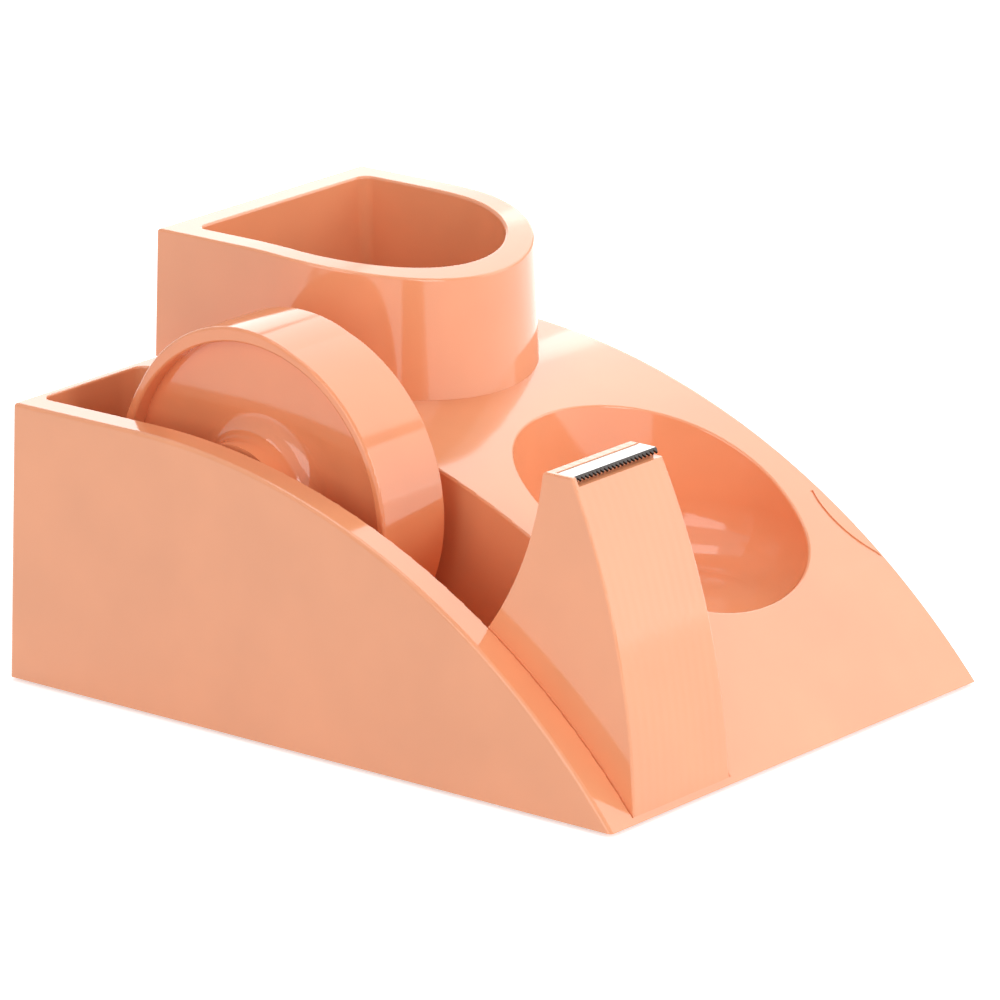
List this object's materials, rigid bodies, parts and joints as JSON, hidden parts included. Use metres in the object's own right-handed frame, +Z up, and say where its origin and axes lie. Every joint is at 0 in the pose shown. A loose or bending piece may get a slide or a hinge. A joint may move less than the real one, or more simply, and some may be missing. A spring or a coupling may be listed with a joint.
{
  "type": "tape dispenser organizer with drawer",
  "caption": "Glossy plastic desk organizer: wedge body with sloped top, tape reel and cutter tower, round clip bowl, D-shaped pen cup and a side drawer.",
  "frame": {"origin": "on the desk, under the middle of the footprint", "axes": "+X towards the drawer's side, +Y from the sharp front edge to the tall rear, +Z up"},
  "size_m": [0.126, 0.17, 0.0923],
  "materials": {
    "body_plastic": "glossy moulded ABS, salmon",
    "cup_plastic": "glossy moulded ABS, salmon",
    "tower_plastic": "glossy moulded ABS, salmon",
    "reel_plastic": "glossy moulded ABS, salmon",
    "tray_plastic": "glossy moulded ABS, salmon",
    "plate_plastic": "fine matte moulding",
    "guide_plastic": "matte acetal",
    "runner_plastic": "natural acetal",
    "screw_steel": "zinc plated",
    "blade_steel": "bright rolled strip",
    "pin_steel": "turned",
    "spring_steel": "spring wire",
    "weight_steel": "plain mill scale",
    "foot_rubber": "soft matte"
  },
  "bodies": {
    "housing": {"body_shell": "body_plastic", "base_plate": "plate_plastic", "base_screws": "screw_steel", "rubber_feet": "foot_rubber", "pen_cup": "cup_plastic", "cup_screws": "screw_steel", "ballast_plate": "weight_steel", "blade_tower": "tower_plastic", "tower_screws": "screw_steel", "tower_weight": "weight_steel", "cutter_blade": "blade_steel", "runner_front": "runner_plastic", "runner_rear": "runner_plastic", "runner_screws": "screw_steel"},
    "reel": {"reel_drum": "reel_plastic", "reel_cover": "reel_plastic", "pin_guide": "guide_plastic", "axle_pin_fixed": "pin_steel", "axle_spring": "spring_steel"},
    "axle_pin": {"axle_pin_sprung": "pin_steel"},
    "drawer": {"drawer_tray": "tray_plastic", "drawer_face": "body_plastic"}
  },
  "joints": [
    {"name": "reel_spin", "type": "hinge", "parent": "housing", "child": "reel", "pos_m": [-0.03835, 0.0261, 0.0475], "axis": [1, 0, 0], "continuous": true},
    {"name": "axle_pin_push", "type": "slide", "parent": "reel", "child": "axle_pin", "axis": [1, 0, 0], "range_m": [0, 0.002], "stiffness_N_per_m": 400, "springref_m": -0.004, "deforming": ["axle_spring"]},
    {"name": "drawer_slide", "type": "slide", "parent": "housing", "child": "drawer", "axis": [1, 0, 0], "range_m": [0, 0.057]}
  ]
}
